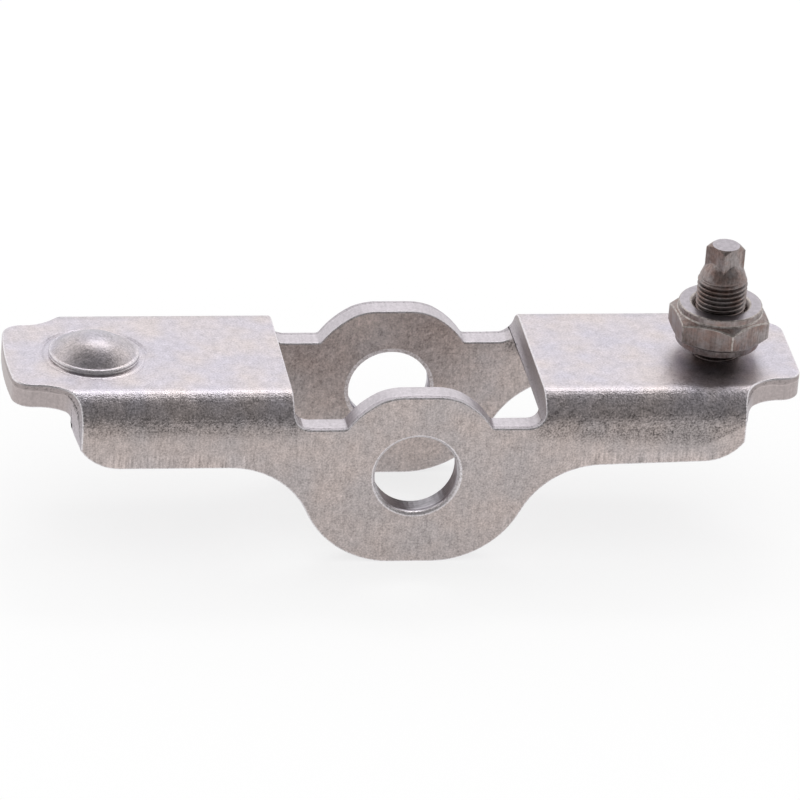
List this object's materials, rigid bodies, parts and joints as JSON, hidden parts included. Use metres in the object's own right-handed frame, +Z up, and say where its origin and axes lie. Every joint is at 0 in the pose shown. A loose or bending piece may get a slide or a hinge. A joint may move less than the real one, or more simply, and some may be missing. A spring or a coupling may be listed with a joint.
{
  "type": "rocker arm",
  "caption": "Pressed-steel channel rocker arm with a shaft bore through two ears, a domed pushrod cup and an adjusting screw with lock nut.",
  "frame": {"origin": "middle of the rocker shaft bore, halfway between the two ears", "axes": "+X along the arms towards the adjusting screw, Y along the shaft bore, +Z up, out of the channel's web"},
  "size_m": [0.1264, 0.0336, 0.0474],
  "materials": {
    "pressed_steel": "tumbled bright pressed steel",
    "screw_steel": "heat-treated dark satin",
    "nut_steel": "heat-treated dark satin, bright machined seat"
  },
  "bodies": {
    "rocker": {"rocker_body": "pressed_steel"},
    "screw": {"adjusting_screw": "screw_steel"},
    "nut": {"lock_nut": "nut_steel"}
  },
  "joints": [
    {"name": "screw_turn", "type": "hinge", "parent": "rocker", "child": "screw", "pos_m": [0.05, 0, 0.013], "axis": [0, 0, 1], "range_deg": [-225, 225]},
    {"name": "nut_turn", "type": "hinge", "parent": "rocker", "child": "nut", "pos_m": [0.05, 0, 0.0185], "axis": [0, 0, 1], "range_deg": [-270, 270]}
  ]
}
